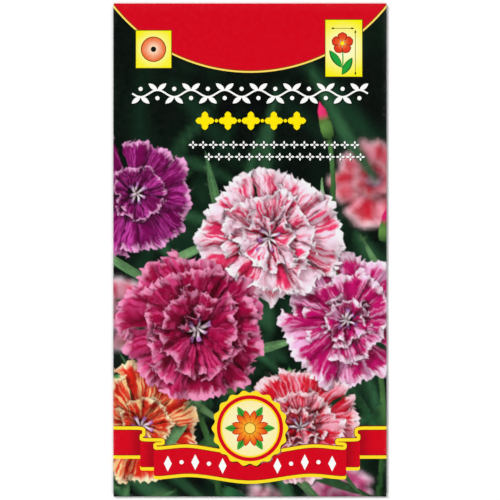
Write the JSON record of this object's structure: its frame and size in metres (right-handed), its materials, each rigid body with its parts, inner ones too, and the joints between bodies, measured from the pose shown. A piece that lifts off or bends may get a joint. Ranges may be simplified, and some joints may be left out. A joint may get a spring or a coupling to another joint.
{
  "type": "seed packet",
  "caption": "Flat paper seed packet, folded and glued from one printed sheet, holding loose flat seeds.",
  "frame": {"origin": "under the middle of the packet, on the surface that it lies on", "axes": "+X across the packet, +Y along it towards its top edge, +Z out of its printed front"},
  "size_m": [0.08, 0.1444, 0.003],
  "materials": {
    "printed_paper": "thin coated paper, glossy print outside, plain white inside",
    "set_glue": "set packaging glue, milky and slightly glossy",
    "seed_coat": "dry black seed coat, finely wrinkled, dull"
  },
  "bodies": {
    "root": {"wrapper": "printed_paper", "seam_glue": "set_glue", "bottom_flap_glue": "set_glue", "top_flap_glue": "set_glue", "seed_01": "seed_coat", "seed_02": "seed_coat", "seed_03": "seed_coat", "seed_04": "seed_coat", "seed_05": "seed_coat", "seed_06": "seed_coat", "seed_07": "seed_coat", "seed_08": "seed_coat", "seed_09": "seed_coat", "seed_10": "seed_coat", "seed_11": "seed_coat", "seed_12": "seed_coat", "seed_13": "seed_coat", "seed_14": "seed_coat", "seed_15": "seed_coat", "seed_16": "seed_coat", "seed_17": "seed_coat", "seed_18": "seed_coat", "seed_19": "seed_coat", "seed_20": "seed_coat", "seed_21": "seed_coat", "seed_22": "seed_coat", "seed_23": "seed_coat", "seed_24": "seed_coat", "seed_25": "seed_coat", "seed_26": "seed_coat", "seed_27": "seed_coat", "seed_28": "seed_coat", "seed_29": "seed_coat", "seed_30": "seed_coat", "seed_31": "seed_coat", "seed_32": "seed_coat", "seed_33": "seed_coat", "seed_34": "seed_coat", "seed_35": "seed_coat", "seed_36": "seed_coat", "seed_37": "seed_coat", "seed_38": "seed_coat", "seed_39": "seed_coat", "seed_40": "seed_coat", "seed_41": "seed_coat", "seed_42": "seed_coat", "seed_43": "seed_coat", "seed_44": "seed_coat", "seed_45": "seed_coat", "seed_46": "seed_coat", "seed_47": "seed_coat", "seed_48": "seed_coat"}
  },
  "joints": []
}
